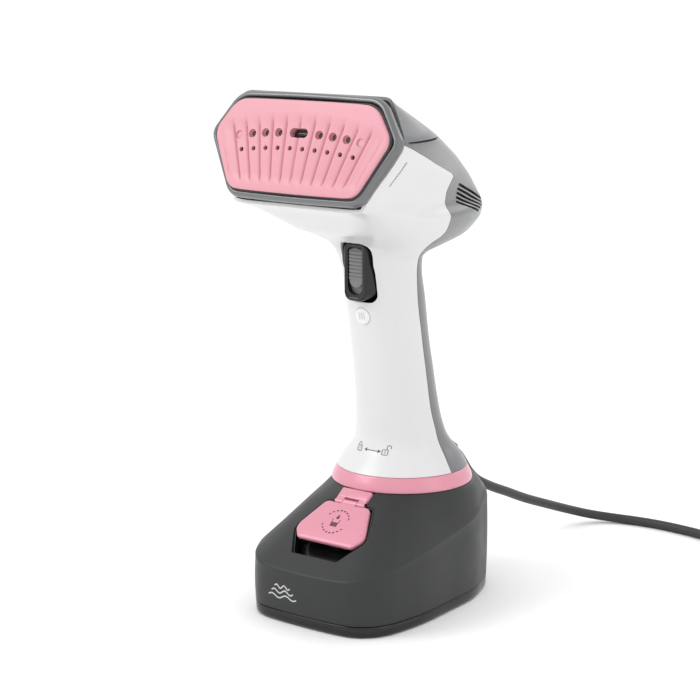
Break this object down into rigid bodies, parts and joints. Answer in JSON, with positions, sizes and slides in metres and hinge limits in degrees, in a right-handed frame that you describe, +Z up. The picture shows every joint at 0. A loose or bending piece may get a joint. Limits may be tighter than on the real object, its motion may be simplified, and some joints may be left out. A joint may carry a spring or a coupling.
{
  "type": "garment steamer",
  "caption": "Hand-held garment steamer with a six-sided steam plate, a trigger in the grip and a detachable water tank it stands on.",
  "frame": {"origin": "centre of the tank's footprint on the table", "axes": "+Z up, -Y towards the steam plate, X across the steamer"},
  "size_m": [0.3175, 0.314, 0.2993],
  "materials": {
    "white_plastic": "glossy white ABS",
    "grey_plastic": "glossy graphite grey ABS",
    "dark_plastic": "dark grey bezel, satin",
    "pink_plate": "pink ceramic coating, satin",
    "pink_plastic": "pink plastic with a faint pearl",
    "black_plastic": "black ABS",
    "black_rubber": "matt black",
    "tank_plastic": "dark smoke grey, satin",
    "silicone": "silicone",
    "hose": "translucent silicone",
    "steel": "plated steel",
    "aluminium": "die cast aluminium",
    "board": "printed circuit board",
    "ceramic": "ceramic",
    "pump": "moulded pump",
    "slider_grey": "satin grey plastic",
    "lens": "frosted light pipe"
  },
  "bodies": {
    "handset": {"front_shell": "white_plastic", "rear_shell": "grey_plastic", "head_bezel": "dark_plastic", "steam_plate": "pink_plate", "plate_gasket": "black_rubber", "heater_block": "aluminium", "heating_element": "steel", "heat_shield": "steel", "thermostat": "ceramic", "thermal_fuse": "ceramic", "water_pump": "pump", "pump_mount": "black_rubber", "suction_hose": "hose", "pressure_hose": "hose", "suction_tube": "hose", "suction_filter": "hose", "bayonet_plug": "white_plastic", "tube_seal": "silicone", "circuit_board": "board", "trigger_switch": "black_plastic", "indicator_lens": "lens", "case_screws": "steel", "lead_relief": "black_rubber", "lead_clamp": "black_plastic", "mains_lead": "black_rubber", "lead_coil": "black_rubber", "lead_tie": "black_plastic", "plug_body": "black_rubber", "plug_pins": "steel", "trigger_pin": "steel", "trigger_spring": "steel"},
    "tank": {"tank_shell": "tank_plastic", "tank_foot": "black_plastic", "base_pad": "black_rubber", "collar_ring": "pink_plastic", "tank_deck": "tank_plastic", "deck_seal": "silicone", "filler_well": "black_plastic", "lid_bracket": "pink_plastic", "lid_pin": "steel"},
    "filler_lid": {"lid": "pink_plastic", "lid_plug": "black_rubber"},
    "trigger": {"trigger": "black_plastic"},
    "steam_lock": {"lock_slider": "slider_grey"}
  },
  "joints": [
    {"name": "tank_twist", "type": "hinge", "parent": "handset", "child": "tank", "pos_m": [0, 0.019, 0.07], "axis": [0, 0, 1], "range_deg": [-25, 0]},
    {"name": "lid_hinge", "type": "hinge", "parent": "tank", "child": "filler_lid", "pos_m": [0, -0.02966, 0.06281], "axis": [1, 0, 0], "range_deg": [-105, 0]},
    {"name": "trigger_pull", "type": "hinge", "parent": "handset", "child": "trigger", "pos_m": [0, -0.017, 0.211], "axis": [1, 0, 0], "range_deg": [0, 7], "stiffness_Nm_per_rad": 0.9},
    {"name": "lock_slide", "type": "slide", "parent": "trigger", "child": "steam_lock", "axis": [0, 0, -1], "range_m": [0, 0.004]}
  ]
}
